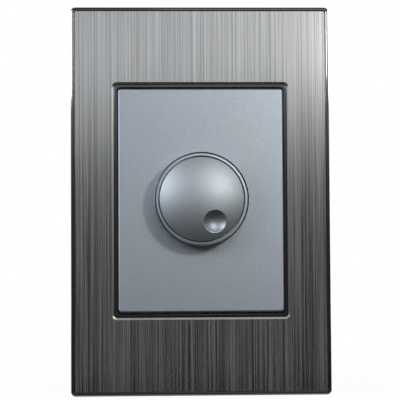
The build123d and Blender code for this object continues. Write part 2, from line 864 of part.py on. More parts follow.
with BuildPart() as pot_shaft:
    with BuildSketch(level(rotor_back)):
        Circle(rotor_diameter / 2)
    extrude(amount=rotor_thickness)
    with BuildSketch(level(rotor_back + rotor_lug_inset)):
        add_ring_sector(shaft_diameter / 2, rotor_lug_radius, dial_angle - 90, rotor_lug_half_angle)
    extrude(amount=rotor_thickness - 2 * rotor_lug_inset)
    with BuildSketch(level(rotor_front)):
        Circle(shaft_diameter / 2)
    extrude(amount=shaft_top - rotor_front)
    # Flat that the knob's bore fits
    with BuildSketch(level(bushing_front)):
        with Locations((0, (shaft_diameter - shaft_flat_depth) / 2)):
            Rectangle(shaft_diameter, shaft_flat_depth)
    extrude(amount=shaft_top - bushing_front, mode=Mode.SUBTRACT)

with BuildPart() as pot_wiper:
    with BuildSketch(level(rotor_back)):
        Circle(wiper_ring / 2)
        Circle(shaft_diameter / 2, mode=Mode.SUBTRACT)
        with PolarLocations(wiper_track_radius - wiper_arm_length / 2, 2):
            Rectangle(wiper_arm_length, wiper_arm_width)
    extrude(amount=-wiper_thickness)
    with BuildSketch(level(wafer_front + wiper_gap)):
        with PolarLocations(wiper_track_radius - wiper_arm_width / 2, 2):
            Circle(wiper_arm_width / 2)
    extrude(amount=rotor_back - wafer_front - wiper_gap)

with BuildPart() as switch_can:
    with BuildSketch(level(board_front)):
        Circle(switch_diameter / 2)
    extrude(amount=switch_depth)
    fillet(faces_at(switch_can, case_back)[0].edges(), radius=switch_round)

with BuildPart() as switch_legs:
    add_straight_leads(switch_leg_places, board_front, lead_diameter)

with BuildPart() as circuit_board:
    with BuildSketch(level(board_back)):
        board_width = interior_width - 2 * board_clearance
        board_height = interior_height - 2 * board_clearance
        RectangleRounded(board_width, board_height, board_corner)
        with Locations(*post_places):
            Circle(post_diameter / 2 + post_clearance, mode=Mode.SUBTRACT)
        with Locations(*lead_places):
            Circle(lead_diameter / 2 + lead_hole_clearance, mode=Mode.SUBTRACT)
        with Locations(*pin_places):
            Circle(pin_diameter / 2 + lead_hole_clearance, mode=Mode.SUBTRACT)
    extrude(amount=board_thickness)

with BuildPart() as triac:
    tab_front = sink_back - triac_pad_thickness
    with BuildSketch(level(tab_front)):
        with Locations((triac_x, (triac_bottom + triac_top) / 2)):
            Rectangle(triac_width, triac_top - triac_bottom)
        with Locations(triac_hole_place):
            Circle(triac_hole / 2, mode=Mode.SUBTRACT)
    extrude(amount=-triac_tab_thickness)
    with BuildSketch(level(tab_front)):
        with Locations((triac_x, (triac_bottom + triac_body_top) / 2)):
            Rectangle(triac_width, triac_body_length)
    extrude(amount=-triac_thickness)
    lead_level = tab_front - triac_lead_drop
    for lead_x, lead_z in triac_lead_places:
        add_bent_lead(
            [
                (lead_x, -lead_level, triac_bottom + lead_bend),
                (lead_x, -lead_level, lead_z),
                (lead_x, -stub_level, lead_z),
            ]
        )

with BuildPart() as triac_pad:
    with BuildSketch(level(tab_front)):
        with Locations((triac_x, (triac_bottom + triac_top) / 2)):
            Rectangle(
                triac_width + 2 * triac_pad_margin,
                triac_top - triac_bottom + 2 * triac_pad_margin,
            )
        with Locations(triac_hole_place):
            Circle(triac_hole / 2, mode=Mode.SUBTRACT)
    extrude(amount=triac_pad_thickness)

with BuildPart() as triac_screw:
    tab_back = tab_front - triac_tab_thickness
    add_screws(
        [triac_hole_place],
        tab_back,
        -1,
        triac_screw_head,
        triac_screw_head_height,
        triac_screw_diameter,
        sink_front - tab_back,
    )

with BuildPart() as choke_core:
    core_back = board_front + part_lift + winding_thickness + core_clearance
    with BuildSketch(level(core_back)):
        with Locations((choke_x, choke_z)):
            Circle(core_diameter / 2)
            Circle(core_bore / 2, mode=Mode.SUBTRACT)
    extrude(amount=core_height)
    fillet(faces_at(choke_core, core_back).edges(), radius=core_round)
    fillet(faces_at(choke_core, core_back + core_height).edges(), radius=core_round)

with BuildPart() as choke_winding:
    core_width = (core_diameter - core_bore) / 2 + 2 * core_clearance
    core_middle = (core_diameter + core_bore) / 4
    core_centre_level = core_back + core_height / 2
    tunnel_height = core_height + 2 * core_clearance
    with BuildSketch(Plane.XY.offset(choke_z)):
        with Locations((choke_x + core_middle, -core_centre_level)):
            RectangleRounded(
                core_width + 2 * winding_thickness,
                tunnel_height + 2 * winding_thickness,
                winding_thickness,
            )
            Rectangle(core_width, tunnel_height, mode=Mode.SUBTRACT)
    revolve(axis=Axis((choke_x, 0, choke_z), (0, 1, 0)), revolution_arc=winding_arc)
    add_straight_leads(choke_lead_places, board_front + part_lift + winding_thickness / 2, lead_diameter)

with BuildPart() as suppression_capacitor:
    add_box_capacitor(
        suppression_capacitor,
        (suppressor_x, suppressor_z),
        suppressor_width,
        suppressor_depth,
        suppressor_height,
        suppressor_places,
    )

with BuildPart() as timing_capacitor:
    add_box_capacitor(
        timing_capacitor,
        (timer_x, timer_z),
        timer_depth,
        timer_width,
        timer_height,
        timer_places,
    )

with BuildPart() as resistors:
    for column in resistor_columns:
        add_axial_part(column, resistor_z, resistor_diameter, resistor_length, resistor_lead_spacing)

with BuildPart() as diac:
    add_axial_part(diac_x, 0, diac_diameter, diac_length, diac_lead_spacing)

with BuildPart() as terminal_clamps:
    with BuildSketch(level(terminal_back)):
        with Locations(*terminal_places):
            Rectangle(terminal_width, terminal_length)
    extrude(amount=terminal_height)
    chamfer(terminal_clamps.edges().filter_by(Axis.Y), length=terminal_edge)
    with BuildSketch(Plane.XY.offset(terminal_z - terminal_length / 2)):
        with Locations(*wire_places):
            Circle(wire_bore / 2)
    extrude(amount=terminal_length, mode=Mode.SUBTRACT)
    with BuildSketch(level(terminal_back)):
        with Locations(*terminal_places):
            Circle(terminal_screw_diameter / 2 + terminal_screw_clearance)
    extrude(amount=wire_level - terminal_back, mode=Mode.SUBTRACT)
    with BuildSketch(level(board_back)):
        with Locations(*terminal_places):
            Circle(pin_diameter / 2)
    extrude(amount=board_thickness + terminal_pin_proud)

with BuildPart() as terminal_screws:
    add_screws(
        terminal_places,
        terminal_back,
        -1,
        terminal_screw_head,
        terminal_back - housing_back - terminal_screw_recess,
        terminal_screw_diameter,
        wire_level - wire_bore / 2 - terminal_screw_gap - terminal_back,
    )

with BuildPart() as knob:
    outer_radius = knob_diameter / 2
    foot_radius = outer_radius + knob_draft
    # Half section: blank of the domed face, ring between two grooves, drafted skirt, ceiling and hub
    with BuildSketch(Plane.XY):
        with BuildLine():
            Polyline(
                (0, -dome_top),
                (dome_radius, -dome_top),
                (dome_radius, -(dome_base - groove_depth)),
                (ring_inner, -(dome_base - groove_depth)),
                (ring_inner, -ring_crest),
                (ring_outer, -(ring_crest - ring_fall)),
                (ring_outer, -(ring_crest - outer_groove_depth)),
                (edge_inner, -(ring_crest - outer_groove_depth)),
                (edge_inner, -edge_crest),
            )
            RadiusArc(
                (edge_inner, -edge_crest),
                (outer_radius, -(edge_crest - edge_width)),
                -edge_width,
            )
            Polyline(
                (outer_radius, -(edge_crest - edge_width)),
                (foot_radius, -knob_foot),
                (foot_radius - knob_wall, -knob_foot),
                (outer_radius - knob_wall, -knob_ceiling),
                (hub_diameter / 2, -knob_ceiling),
                (hub_diameter / 2, -hub_foot),
                (0, -hub_foot),
                (0, -dome_top),
            )
        make_face()
    revolve(axis=Axis.Y)
    fillet(faces_at(knob, knob_foot)[0].outer_wire().edges(), radius=knob_foot_round)
    # Domed face, cut by a large ball whose poles are clear of it
    with BuildPart(mode=Mode.PRIVATE) as dome_waste:
        with BuildSketch(level(dome_base - dome_edge_round)):
            Circle(dome_radius + groove_width / 2)
        extrude(amount=dome_rise + 2 * dome_edge_round)
        with Locations((0, dome_sphere - dome_top, 0)):
            Sphere(dome_sphere, mode=Mode.SUBTRACT)
    add(dome_waste, mode=Mode.SUBTRACT)
    dome_face = knob.faces().filter_by(GeomType.SPHERE).sort_by(SortBy.AREA)[-1]
    fillet(dome_face.outer_wire().edges(), radius=dome_edge_round)
    # Ribs from hub to skirt under the ceiling
    rib_inner = hub_diameter / 2 - knob_rib_thickness / 2
    rib_outer = outer_radius - knob_wall / 2
    with BuildSketch(level(knob_ceiling)):
        with PolarLocations((rib_inner + rib_outer) / 2, knob_rib_count):
            Rectangle(rib_outer - rib_inner, knob_rib_thickness)
    extrude(amount=-knob_rib_height)
    # Bore with a flat for the shaft
    with BuildSketch(level(hub_foot)):
        Circle(shaft_diameter / 2 + shaft_clearance)
        with Locations((0, shaft_diameter / 2 + shaft_clearance - shaft_flat_depth / 2)):
            Rectangle(shaft_diameter + 2 * shaft_clearance, shaft_flat_depth, mode=Mode.SUBTRACT)
    extrude(amount=knob_ceiling - hub_foot, mode=Mode.SUBTRACT)
    # Finger dimple, a ball's print square to the dome
    dimple_ball = (dimple_radius**2 + dimple_depth**2) / (2 * dimple_depth)
    dimple_tilt = asin(dimple_offset / dome_sphere)
    dimple_reach = dome_sphere - dimple_depth + dimple_ball
    dimple_side = dimple_reach * sin(dimple_tilt)
    dimple_level = dome_top - dome_sphere + dimple_reach * cos(dimple_tilt)
    dimple_centre = (
        dimple_side * sin(radians(dial_angle)),
        -dimple_level,
        -dimple_side * cos(radians(dial_angle)),
    )
    with Locations(dimple_centre):
        Sphere(dimple_ball, mode=Mode.SUBTRACT)
    dimple_edge = knob.edges().filter_by(GeomType.CIRCLE).sort_by_distance(dimple_centre)[0]
    fillet(dimple_edge, radius=dimple_round)

os.makedirs("parts", exist_ok=True)

pieces = {
    "face_sheet": face_sheet,
    "plate_frame": plate_frame,
    "support_frame": support_frame,
    "box_screws": box_screws,
    "front_panel": front_panel,
    "rear_housing": rear_housing,
    "heat_sink": heat_sink,
    "heat_sink_screws": heat_sink_screws,
    "pot_bushing": pot_bushing,
    "pot_washer": pot_washer,
    "pot_nut": pot_nut,
    "pot_case": pot_case,
    "pot_wafer": pot_wafer,
    "pot_legs": pot_legs,
    "pot_shaft": pot_shaft,
    "pot_wiper": pot_wiper,
    "switch_can": switch_can,
    "switch_legs": switch_legs,
    "circuit_board": circuit_board,
    "triac": triac,
    "triac_pad": triac_pad,
    "triac_screw": triac_screw,
    "choke_core": choke_core,
    "choke_winding": choke_winding,
    "suppression_capacitor": suppression_capacitor,
    "timing_capacitor": timing_capacitor,
    "resistors": resistors,
    "diac": diac,
    "terminal_clamps": terminal_clamps,
    "terminal_screws": terminal_screws,
    "knob": knob,
}
for node, piece in pieces.items():
    piece.part.label = node
    export_step(piece.part, f"parts/{node}.step")
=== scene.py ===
import bpy
import bmesh
from math import asin, copysign, cos, pi, radians, sin
from mathutils import Matrix, Vector


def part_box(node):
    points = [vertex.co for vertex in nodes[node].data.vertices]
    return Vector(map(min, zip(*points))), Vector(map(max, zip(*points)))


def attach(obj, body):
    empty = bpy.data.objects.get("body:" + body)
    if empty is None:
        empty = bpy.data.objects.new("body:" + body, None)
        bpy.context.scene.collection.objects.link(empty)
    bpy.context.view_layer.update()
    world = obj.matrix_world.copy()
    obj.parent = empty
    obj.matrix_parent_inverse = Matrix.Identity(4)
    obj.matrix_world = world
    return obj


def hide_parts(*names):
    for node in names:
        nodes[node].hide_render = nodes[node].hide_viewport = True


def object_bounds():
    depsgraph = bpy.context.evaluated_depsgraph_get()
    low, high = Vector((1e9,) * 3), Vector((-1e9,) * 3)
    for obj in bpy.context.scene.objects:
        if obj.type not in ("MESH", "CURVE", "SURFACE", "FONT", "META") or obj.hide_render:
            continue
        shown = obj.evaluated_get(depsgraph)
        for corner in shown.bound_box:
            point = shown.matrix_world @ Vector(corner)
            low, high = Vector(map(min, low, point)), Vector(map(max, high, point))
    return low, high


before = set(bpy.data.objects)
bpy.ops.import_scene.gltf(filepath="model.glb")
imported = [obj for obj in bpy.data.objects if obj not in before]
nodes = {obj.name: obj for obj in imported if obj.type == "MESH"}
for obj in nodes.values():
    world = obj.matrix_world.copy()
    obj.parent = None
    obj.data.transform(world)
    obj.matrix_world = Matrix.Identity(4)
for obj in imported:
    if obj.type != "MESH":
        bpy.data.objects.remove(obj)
cadLow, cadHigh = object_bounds()  # the CAD box, before anything is dressed
scene = bpy.context.scene
scene.view_settings.view_transform = "Standard"
print("frame loaded with", len(nodes), "nodes")


# the camera stands a little left of the plate and below its middle
photoCamera = {
    "place": (-0.01601, -0.44489, -0.01971),
    "yaw": 2.069,
    "pitch": 2.598,
    "roll": -0.326,
    "lens": 127.53,
    "sensor": 36.0,
    "clipStart": 0.01,
}


def addCamera(settings):
    yaw, pitch, roll = (radians(settings[name]) for name in ("yaw", "pitch", "roll"))
    forward = Vector((sin(yaw) * cos(pitch), cos(yaw) * cos(pitch), sin(pitch)))
    right = forward.cross(Vector((0, 0, 1))).normalized()
    up = right.cross(forward)
    rolledRight = cos(roll) * right + sin(roll) * up
    rolledUp = cos(roll) * up - sin(roll) * right
    data = bpy.data.cameras.new("photoCamera")
    data.lens = settings["lens"]
    data.sensor_width = settings["sensor"]
    data.clip_start = settings["clipStart"]
    camera = bpy.data.objects.new("photoCamera", data)
    scene.collection.objects.link(camera)
    turn = Matrix((rolledRight, rolledUp, -forward)).transposed().to_4x4()
    camera.matrix_world = Matrix.Translation(settings["place"]) @ turn
    scene.camera = camera


addCamera(photoCamera)
print("camera placed")


def addNode(tree, kind, values=None, **settings):
    node = tree.nodes.new(kind)
    for name, value in settings.items():
        setattr(node, name, value)
    for name, value in (values or {}).items():
        node.inputs[name].default_value = value
    return node


def join(tree, *pairs):
    for start, end in pairs:
        tree.links.new(start, end)


def startGroup(name, inputs, outputs):
    group = bpy.data.node_groups.new(name, "ShaderNodeTree")
    sockets = group.interface
    for label, kind, value in inputs:
        socket = sockets.new_socket(label, in_out="INPUT", socket_type="NodeSocket" + kind)
        socket.default_value = value
    for label, kind in outputs:
        sockets.new_socket(label, in_out="OUTPUT", socket_type="NodeSocket" + kind)
    return group, addNode(group, "NodeGroupInput"), addNode(group, "NodeGroupOutput")


def addMaths(tree, operation, first, second=0.0):
    node = addNode(tree, "ShaderNodeMath", operation=operation)
    for socket, value in zip(node.inputs, (first, second)):
        if isinstance(value, (int, float)):
            socket.default_value = value
        else:
            tree.links.new(value, socket)
    return node.outputs[0]


def addNoise(tree, vector, detail, roughness):
    values = {"Scale": 1.0, "Detail": detail, "Roughness": roughness}
    noise = addNode(tree, "ShaderNodeTexNoise", values)
    join(tree, (vector, noise.inputs["Vector"]))
    return noise.outputs["Fac"]


# noise about its middle, so that a weight of 1 lightens as much as it darkens
def addLift(tree, noise, weight):
    return addMaths(tree, "MULTIPLY", addMaths(tree, "SUBTRACT", noise, 0.5), weight)


# a factor about 1, from a lift and the group's contrast
def addShade(tree, lift, contrast):
    return addMaths(tree, "ADD", addMaths(tree, "MULTIPLY", lift, contrast), 1.0)


# drawn or brushed lines, stretched along whichever axis has the largest line size
linePattern = {
    "lineSize": (0.0004, 0.0004, 0.03),
    "contrast": 0.2,
    "shortScale": (1.37, 1.37, 4.0),
    "wideScale": (0.31, 0.31, 0.6),
    "detail": 1.0,
    "wideDetail": 2.0,
    "roughness": 0.5,
    "fineWeight": 4.0,
    "shortWeight": 2.0,
    "wideWeight": 0.8,
    "darkest": 0.05,
    "heightWeight": 0.6,
    "heightBase": 0.2,
}


def makeDrawnLines(settings):
    group, given, result = startGroup(
        "drawnLines",
        [
            ("Line Size", "Vector", settings["lineSize"]),
            ("Contrast", "Float", settings["contrast"]),
        ],
        [("Shade", "Float"), ("Height", "Float")],
    )
    place = addNode(group, "ShaderNodeTexCoord")
    fineScale = addNode(group, "ShaderNodeVectorMath", operation="DIVIDE")
    shortScale = addNode(
        group, "ShaderNodeVectorMath", {1: settings["shortScale"]}, operation="MULTIPLY"
    )
    wideScale = addNode(
        group, "ShaderNodeVectorMath", {1: settings["wideScale"]}, operation="MULTIPLY"
    )
    join(
        group,
        (place.outputs["Object"], fineScale.inputs[0]),
        (given.outputs["Line Size"], fineScale.inputs[1]),
        (fineScale.outputs[0], shortScale.inputs[0]),
        (fineScale.outputs[0], wideScale.inputs[0]),
    )
    detail, roughness = settings["detail"], settings["roughness"]
    fine = addNoise(group, fineScale.outputs[0], detail, roughness)
    short = addNoise(group, shortScale.outputs[0], detail, roughness)
    wide = addNoise(group, wideScale.outputs[0], settings["wideDetail"], roughness)
    fineLift = addLift(group, fine, settings["fineWeight"])
    shortLift = addLift(group, short, settings["shortWeight"])
    wideLift = addLift(group, wide, settings["wideWeight"])
    lift = addMaths(group, "ADD", addMaths(group, "ADD", fineLift, shortLift), wideLift)
    shade = addShade(group, lift, given.outputs["Contrast"])
    fineHeight = addLift(group, fine, settings["heightWeight"])
    shortHeight = addMaths(group, "MULTIPLY", short, settings["heightWeight"])
    height = addMaths(group, "ADD", fineHeight, shortHeight)
    join(
        group,
        (addMaths(group, "MAXIMUM", shade, settings["darkest"]), result.inputs["Shade"]),
        (addMaths(group, "ADD", height, settings["heightBase"]), result.inputs["Height"]),
    )
    return group


# grain of a spark-eroded mould, with the cloudy flow of the plastic under it
grainPattern = {
    "grainSize": 0.0003,
    "cloudSize": 0.012,
    "contrast": 0.1,
    "grainDetail": 2.0,
    "cloudDetail": 3.0,
    "roughness": 0.55,
    "grainWeight": 3.0,
    "cloudWeight": 2.0,
}


def makeMouldGrain(settings):
    group, given, result = startGroup(
        "mouldGrain",
        [
            ("Grain Size", "Float", settings["grainSize"]),
            ("Cloud Size", "Float", settings["cloudSize"]),
            ("Contrast", "Float", settings["contrast"]),
        ],
        [("Shade", "Float"), ("Height", "Float"), ("Cloud", "Float")],
    )
    place = addNode(group, "ShaderNodeTexCoord")
    patterns = []
    for size, detail in (("Grain Size", "grainDetail"), ("Cloud Size", "cloudDetail")):
        scale = addNode(group, "ShaderNodeVectorMath", operation="SCALE")
        join(
            group,
            (place.outputs["Object"], scale.inputs[0]),
            (addMaths(group, "DIVIDE", 1.0, given.outputs[size]), scale.inputs["Scale"]),
        )
        patterns.append(addNoise(group, scale.outputs[0], settings[detail], settings["roughness"]))
    grain, cloud = patterns
    grainLift = addLift(group, grain, settings["grainWeight"])
    cloudLift = addLift(group, cloud, settings["cloudWeight"])
    lift = addMaths(group, "ADD", grainLift, cloudLift)
    join(
        group,
        (addShade(group, lift, given.outputs["Contrast"]), result.inputs["Shade"]),
        (grain, result.inputs["Height"]),
        (cloud, result.inputs["Cloud"]),
    )
    return group


# metal flakes in a paint film: each cell is a little lighter or darker than its neighbours
flakePattern = {"flakeSize": 0.0002, "contrast": 0.1}


def makePaintFlake(settings):
    group, given, result = startGroup(
        "paintFlake",
        [
            ("Flake Size", "Float", settings["flakeSize"]),
            ("Contrast", "Float", settings["contrast"]),
        ],
        [("Shade", "Float"), ("Height", "Float")],
    )
    place = addNode(group, "ShaderNodeTexCoord")
    scale = addNode(group, "ShaderNodeVectorMath", operation="SCALE")
    cells = addNode(group, "ShaderNodeTexVoronoi", {"Scale": 1.0})
    pick = addNode(group, "ShaderNodeSeparateColor")
    join(
        group,
        (place.outputs["Object"], scale.inputs[0]),
        (addMaths(group, "DIVIDE", 1.0, given.outputs["Flake Size"]), scale.inputs["Scale"]),
        (scale.outputs[0], cells.inputs["Vector"]),
        (cells.outputs["Color"], pick.inputs[0]),
    )
    lift = addLift(group, pick.outputs[0], 1.0)
    join(
        group,
        (addShade(group, lift, given.outputs["Contrast"]), result.inputs["Shade"]),
        (pick.outputs[1], result.inputs["Height"]),
    )
    return group


# paler edges, part wear and part painted highlight: a mask where the surface turns sharply within
# the reach
edgeWearAndSheenPattern = {"reach": 0.0003, "amount": 0.5, "samples": 6, "gain": 4.0}


def makeEdgeWearAndSheen(settings):
    group, given, result = startGroup(
        "edgeWearAndSheen",
        [("Reach", "Float", settings["reach"]), ("Amount", "Float", settings["amount"])],
        [("Mask", "Float")],
    )
    rounded = addNode(group, "ShaderNodeBevel", samples=settings["samples"])
    flat = addNode(group, "ShaderNodeNewGeometry")
    turn = addNode(group, "ShaderNodeVectorMath", operation="DOT_PRODUCT")
    join(
        group,
        (given.outputs["Reach"], rounded.inputs["Radius"]),
        (rounded.outputs[0], turn.inputs[0]),
        (flat.outputs["Normal"], turn.inputs[1]),
    )
    turned = addMaths(group, "SUBTRACT", 1.0, turn.outputs["Value"])
    gained = addMaths(group, "MULTIPLY", turned, settings["gain"])
    capped = addMaths(group, "MINIMUM", gained, 1.0)
    mask = addMaths(group, "MULTIPLY", capped, given.outputs["Amount"])
    join(group, (mask, result.inputs["Mask"]))
    return group


drawnLines = makeDrawnLines(linePattern)
mouldGrain = makeMouldGrain(grainPattern)
paintFlake = makePaintFlake(flakePattern)
edgeWearAndSheen = makeEdgeWearAndSheen(edgeWearAndSheenPattern)
print("node groups made")


def startMaterial(name, sockets):
    material = bpy.data.materials.new(name)
    material.use_nodes = True
    tree = material.node_tree
    shader = tree.nodes["Principled BSDF"]
    for socket, value in sockets.items():
        shader.inputs[socket].default_value = value
    return material, tree, shader


def addGroup(tree, group, values):
    return addNode(tree, "ShaderNodeGroup", values, node_tree=group)


def addLines(tree, settings):
    values = {"Line Size": settings["lineSize"], "Contrast": settings["contrast"]}
    return addGroup(tree, drawnLines, values)


def addGrain(tree, settings):
    sizes = {"Grain Size": settings["grainSize"], "Cloud Size": settings["cloudSize"]}
    return addGroup(tree, mouldGrain, {**sizes, "Contrast": settings["contrast"]})


def shadeColour(tree, shader, colour, shade):
    tinted = addNode(tree, "ShaderNodeVectorMath", operation="SCALE")
    if isinstance(colour, tuple):
        tinted.inputs[0].default_value = colour
    else:
        join(tree, (colour, tinted.inputs[0]))
    join(tree, (shade, tinted.inputs["Scale"]), (tinted.outputs[0], shader.inputs["Base Color"]))


def bumpFrom(tree, shader, height, distance, strength):
    bump = addNode(tree, "ShaderNodeBump", {"Strength": strength, "Distance": distance})
    join(tree, (height, bump.inputs["Height"]), (bump.outputs[0], shader.inputs["Normal"]))


noiseRange = {"From Min": 0.3, "From Max": 0.7}  # where noise mostly lies


def spread(tree, value, socket, limits):
    fit = addNode(tree, "ShaderNodeMapRange", noiseRange)
    fit.inputs["To Min"].default_value, fit.inputs["To Max"].default_value = limits
    join(tree, (value, fit.inputs["Value"]), (fit.outputs[0], socket))


# edges lightened in colour: part wear, part painted highlight
def paleEdgesWornAndLit(tree, shade, reach, amount):
    wearAndSheen = addGroup(tree, edgeWearAndSheen, {"Reach": reach, "Amount": amount})
    return addMaths(tree, "ADD", shade, wearAndSheen.outputs["Mask"])


def setStops(ramp, stops):
    elements = ramp.color_ramp.elements
    while len(elements) < len(stops):
        elements.new(1.0)
    for element, (position, colour) in zip(elements, stops):
        element.position = position
        element.color = colour


def dress(material, *names):
    for name in names:
        nodes[name].data.materials.clear()
        nodes[name].data.materials.append(material)


# face sheet: metal brushed along the plate's height, with bevel and edges cut after the brushing;
# the cut faces are also painted darker, a painted shade that tones down their highlights
brushedSheet = {
    "colour": (0.47, 0.485, 0.50),
    "lineSize": (0.00024, 0.00024, 0.12),
    "contrast": 0.25,
    "roughness": (0.13, 0.16),
    "metallic": (1.0, 0.84),
    "cutRoughness": 0.34,
    "cutPaintedShade": 0.53,
    "cutFacing": -0.98,
    "sockets": {"Anisotropic": 0.5},
}


def makeBrushedSheet(settings):
    material, tree, shader = startMaterial("brushedSheet", settings["sockets"])
    lines = addLines(tree, settings)
    facing = addNode(tree, "ShaderNodeNewGeometry")
    split = addNode(tree, "ShaderNodeSeparateXYZ")
    join(tree, (facing.outputs["Normal"], split.inputs[0]))
    cut = addMaths(tree, "GREATER_THAN", split.outputs["Y"], settings["cutFacing"])
    # painted shade: the colour of faces that turn away from the front is darkened
    paintedShadeLoss = addMaths(tree, "MULTIPLY", cut, 1 - settings["cutPaintedShade"])
    paintedShadeFactor = addMaths(tree, "SUBTRACT", 1.0, paintedShadeLoss)
    shade = addMaths(tree, "MULTIPLY", lines.outputs["Shade"], paintedShadeFactor)
    shadeColour(tree, shader, settings["colour"], shade)
    spread(tree, lines.outputs["Height"], shader.inputs["Metallic"], settings["metallic"])
    spread(tree, lines.outputs["Height"], shader.inputs["Roughness"], settings["roughness"])
    brushed = shader.inputs["Roughness"].links[0].from_socket
    dull = addMaths(tree, "MULTIPLY", cut, settings["cutRoughness"])
    join(tree, (addMaths(tree, "MAXIMUM", brushed, dull), shader.inputs["Roughness"]))
    across = addNode(tree, "ShaderNodeTangent", direction_type="RADIAL", axis="Z")
    join(tree, (across.outputs[0], shader.inputs["Tangent"]))
    return material


dress(makeBrushedSheet(brushedSheet), "face_sheet")


# mouldings: grain, cloudy gloss and, where given, paler edges that are part wear, part painted
# highlight
glossBlack = {
    "colour": (0.012, 0.012, 0.013),
    "grainSize": 0.0006,
    "cloudSize": 0.015,
    "contrast": 0.15,
    "roughness": (0.07, 0.12),
    "sockets": {"IOR": 1.6, "Coat Weight": 1.0, "Coat IOR": 1.6, "Coat Roughness": 0.04},
}
framePlastic = {
    "colour": (0.30, 0.31, 0.32),
    "grainSize": 0.00045,
    "cloudSize": 0.018,
    "contrast": 0.07,
    "roughness": (0.42, 0.55),
    "bump": (0.00004, 0.5),
    "edge": (0.0003, 0.12),
    "sockets": {"IOR": 1.49},
}
housingPlastic = {
    "colour": (0.030, 0.030, 0.033),
    "grainSize": 0.0005,
    "cloudSize": 0.02,
    "contrast": 0.16,
    "roughness": (0.34, 0.48),
    "bump": (0.00005, 0.6),
    "edge": (0.0003, 0.9),
    "sockets": {"IOR": 1.52},
}
epoxyBlack = {
    **housingPlastic,
    "colour": (0.022, 0.022, 0.022),
    "grainSize": 0.00025,
    "roughness": (0.45, 0.6),
}
waferBrown = {
    "colour": (0.30, 0.18, 0.09),
    "grainSize": 0.0002,
    "cloudSize": 0.003,
    "contrast": 0.18,
    "roughness": (0.4, 0.6),
    "sockets": {"IOR": 1.55},
}
padGrey = {
    **waferBrown,
    "colour": (0.55, 0.56, 0.58),
    "contrast": 0.06,
    "roughness": (0.6, 0.75),
}
ferrite = {
    "colour": (0.075, 0.075, 0.082),
    "grainSize": 0.00015,
    "cloudSize": 0.002,
    "contrast": 0.2,
    "roughness": (0.5, 0.7),
    "bump": (0.00003, 0.6),
    "sockets": {"IOR": 2.0},
}


def makeMoulding(name, settings):
    material, tree, shader = startMaterial(name, settings["sockets"])
    grain = addGrain(tree, settings)
    shade = grain.outputs["Shade"]
    if "edge" in settings:
        shade = paleEdgesWornAndLit(tree, shade, *settings["edge"])
    shadeColour(tree, shader, settings["colour"], shade)
    spread(tree, grain.outputs["Cloud"], shader.inputs["Roughness"], settings["roughness"])
    if "bump" in settings:
        bumpFrom(tree, shader, grain.outputs["Height"], *settings["bump"])
    return material


dress(makeMoulding("glossBlack", glossBlack), "plate_frame")
dress(makeMoulding("framePlastic", framePlastic), "support_frame")
dress(makeMoulding("housingPlastic", housingPlastic), "rear_housing")
dress(makeMoulding("epoxyBlack", epoxyBlack), "switch_can")
dress(makeMoulding("waferBrown", waferBrown), "pot_wafer")
dress(makeMoulding("padGrey", padGrey), "triac_pad")
dress(makeMoulding("ferrite", ferrite), "choke_core")


# panel and knob: one metallic paint, over a textured panel and a smooth knob
panelPaint = {
    "colour": (0.478, 0.547, 0.628),
    "flakeSize": 0.0003,
    "contrast": 0.12,
    "roughness": (0.44, 0.49),
    "bump": (0.00002, 0.5),
    "sockets": {"Metallic": 1.0},
}
knobPaint = {
    "colour": (0.465, 0.525, 0.588),
    "flakeSize": 0.0002,
    "contrast": 0.05,
    "roughness": (0.475, 0.515),
    # grooves: radii between which the knob's colour is darkened as painted shade
    "grooves": [(0.0128, 0.0132), (0.0140, 0.0143)],
    "grooveFront": -0.0166,
    "grooveShade": 0.12,
    "sockets": {"Metallic": 1.0},
}


# painted shade: dark rings painted into the grooves round the knob's axis, near its front
def paintGrooveShade(tree, shade, settings):
    place = addNode(tree, "ShaderNodeTexCoord")
    flat = addNode(tree, "ShaderNodeVectorMath", {1: (1, 0, 1)}, operation="MULTIPLY")
    radius = addNode(tree, "ShaderNodeVectorMath", operation="LENGTH")
    split = addNode(tree, "ShaderNodeSeparateXYZ")
    join(
        tree,
        (place.outputs["Object"], flat.inputs[0]),
        (place.outputs["Object"], split.inputs[0]),
        (flat.outputs[0], radius.inputs[0]),
    )
    front = addMaths(tree, "LESS_THAN", split.outputs["Y"], settings["grooveFront"])
    for inner, outer in settings["grooves"]:
        past = addMaths(tree, "GREATER_THAN", radius.outputs["Value"], inner)
        inside = addMaths(tree, "LESS_THAN", radius.outputs["Value"], outer)
        paintedShade = addMaths(tree, "MULTIPLY", addMaths(tree, "MULTIPLY", past, inside), front)
        paintedShadeLoss = addMaths(tree, "MULTIPLY", paintedShade, 1 - settings["grooveShade"])
        shade = addMaths(tree, "MULTIPLY", shade, addMaths(tree, "SUBTRACT", 1.0, paintedShadeLoss))
    return shade


def makeSatinPaint(name, settings):
    material, tree, shader = startMaterial(name, settings["sockets"])
    values = {"Flake Size": settings["flakeSize"], "Contrast": settings["contrast"]}
    flake = addGroup(tree, paintFlake, values)
    shade = flake.outputs["Shade"]
    if "grooves" in settings:
        shade = paintGrooveShade(tree, shade, settings)
    shadeColour(tree, shader, settings["colour"], shade)
    spread(tree, flake.outputs["Height"], shader.inputs["Roughness"], settings["roughness"])
    if "bump" in settings:
        bumpFrom(tree, shader, flake.outputs["Height"], *settings["bump"])
    return material


dress(makeSatinPaint("panelPaint", panelPaint), "front_panel")
dress(makeSatinPaint("knobPaint", knobPaint), "knob")
print("front dressed")


